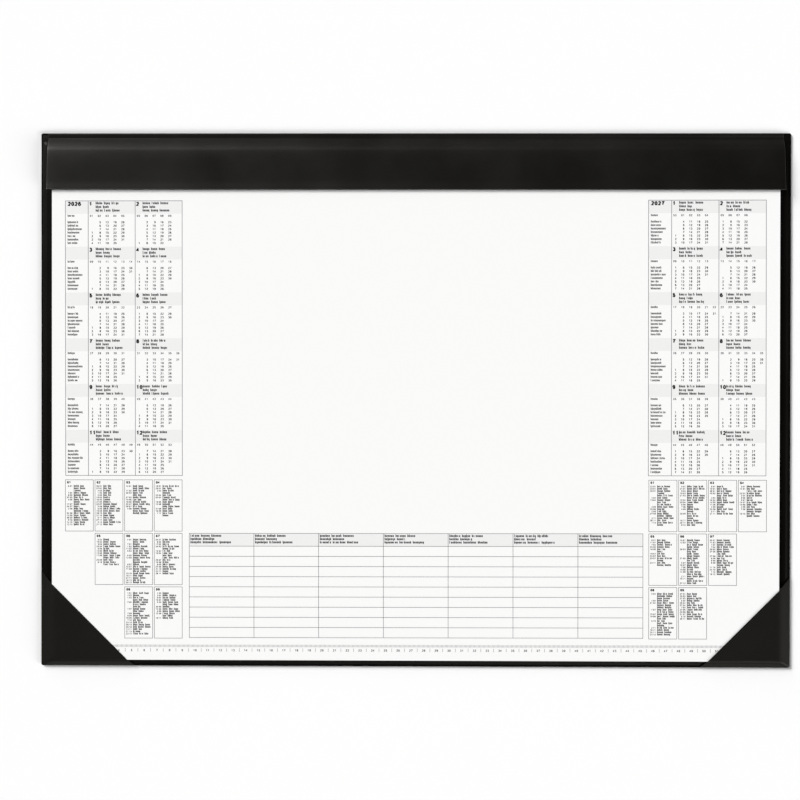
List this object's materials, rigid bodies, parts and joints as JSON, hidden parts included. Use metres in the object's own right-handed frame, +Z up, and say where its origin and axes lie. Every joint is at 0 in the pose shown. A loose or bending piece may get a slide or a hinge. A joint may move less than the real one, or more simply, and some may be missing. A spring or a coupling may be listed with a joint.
{
  "type": "desk pad calendar",
  "caption": "Flat black desk mat that holds a pad of white calendar sheets under two corner pockets and a padded cover strip that folds up along the head.",
  "frame": {"origin": "middle of the mat's outline, on the face that lies on the desk", "axes": "+X along the width to the right, +Y towards the head with the cover strip, +Z up out of the printed sheets"},
  "size_m": [0.59, 0.42, 0.0082],
  "materials": {
    "black_foil": "fine leather grain, soft sheen",
    "foam_rubber": "fine foam, matt",
    "grey_board": "recycled greyboard, matt",
    "white_paper": "uncoated, printed on the upper side",
    "clear_glue": "dried pad glue",
    "soft_padding": "soft foam sheet, hidden"
  },
  "bodies": {
    "mat": {"non_slip_underlay": "foam_rubber", "stiffener_board": "grey_board", "top_cover": "black_foil", "corner_pocket_left": "black_foil", "corner_pocket_right": "black_foil", "cover_strip_spine": "black_foil", "pad_backing_board": "grey_board", "pad_binding_glue": "clear_glue", "calendar_sheet_01": "white_paper", "calendar_sheet_02": "white_paper", "calendar_sheet_03": "white_paper", "calendar_sheet_04": "white_paper", "calendar_sheet_05": "white_paper", "calendar_sheet_06": "white_paper", "calendar_sheet_07": "white_paper", "calendar_sheet_08": "white_paper", "calendar_sheet_09": "white_paper", "calendar_sheet_10": "white_paper", "calendar_sheet_11": "white_paper", "calendar_sheet_12": "white_paper", "calendar_sheet_13": "white_paper", "calendar_sheet_14": "white_paper", "calendar_sheet_15": "white_paper", "calendar_sheet_16": "white_paper", "calendar_sheet_17": "white_paper", "calendar_sheet_18": "white_paper", "calendar_sheet_19": "white_paper", "calendar_sheet_20": "white_paper", "calendar_sheet_21": "white_paper", "calendar_sheet_22": "white_paper", "calendar_sheet_23": "white_paper", "calendar_sheet_24": "white_paper", "calendar_sheet_25": "white_paper"},
    "cover_strip": {"strip_outer_skin": "black_foil", "strip_padding": "soft_padding", "strip_lining": "black_foil"}
  },
  "joints": [
    {"name": "cover_strip_hinge", "type": "hinge", "parent": "mat", "child": "cover_strip", "pos_m": [0, 0.206, 0.0025], "axis": [-1, 0, 0], "range_deg": [0, 120]}
  ]
}
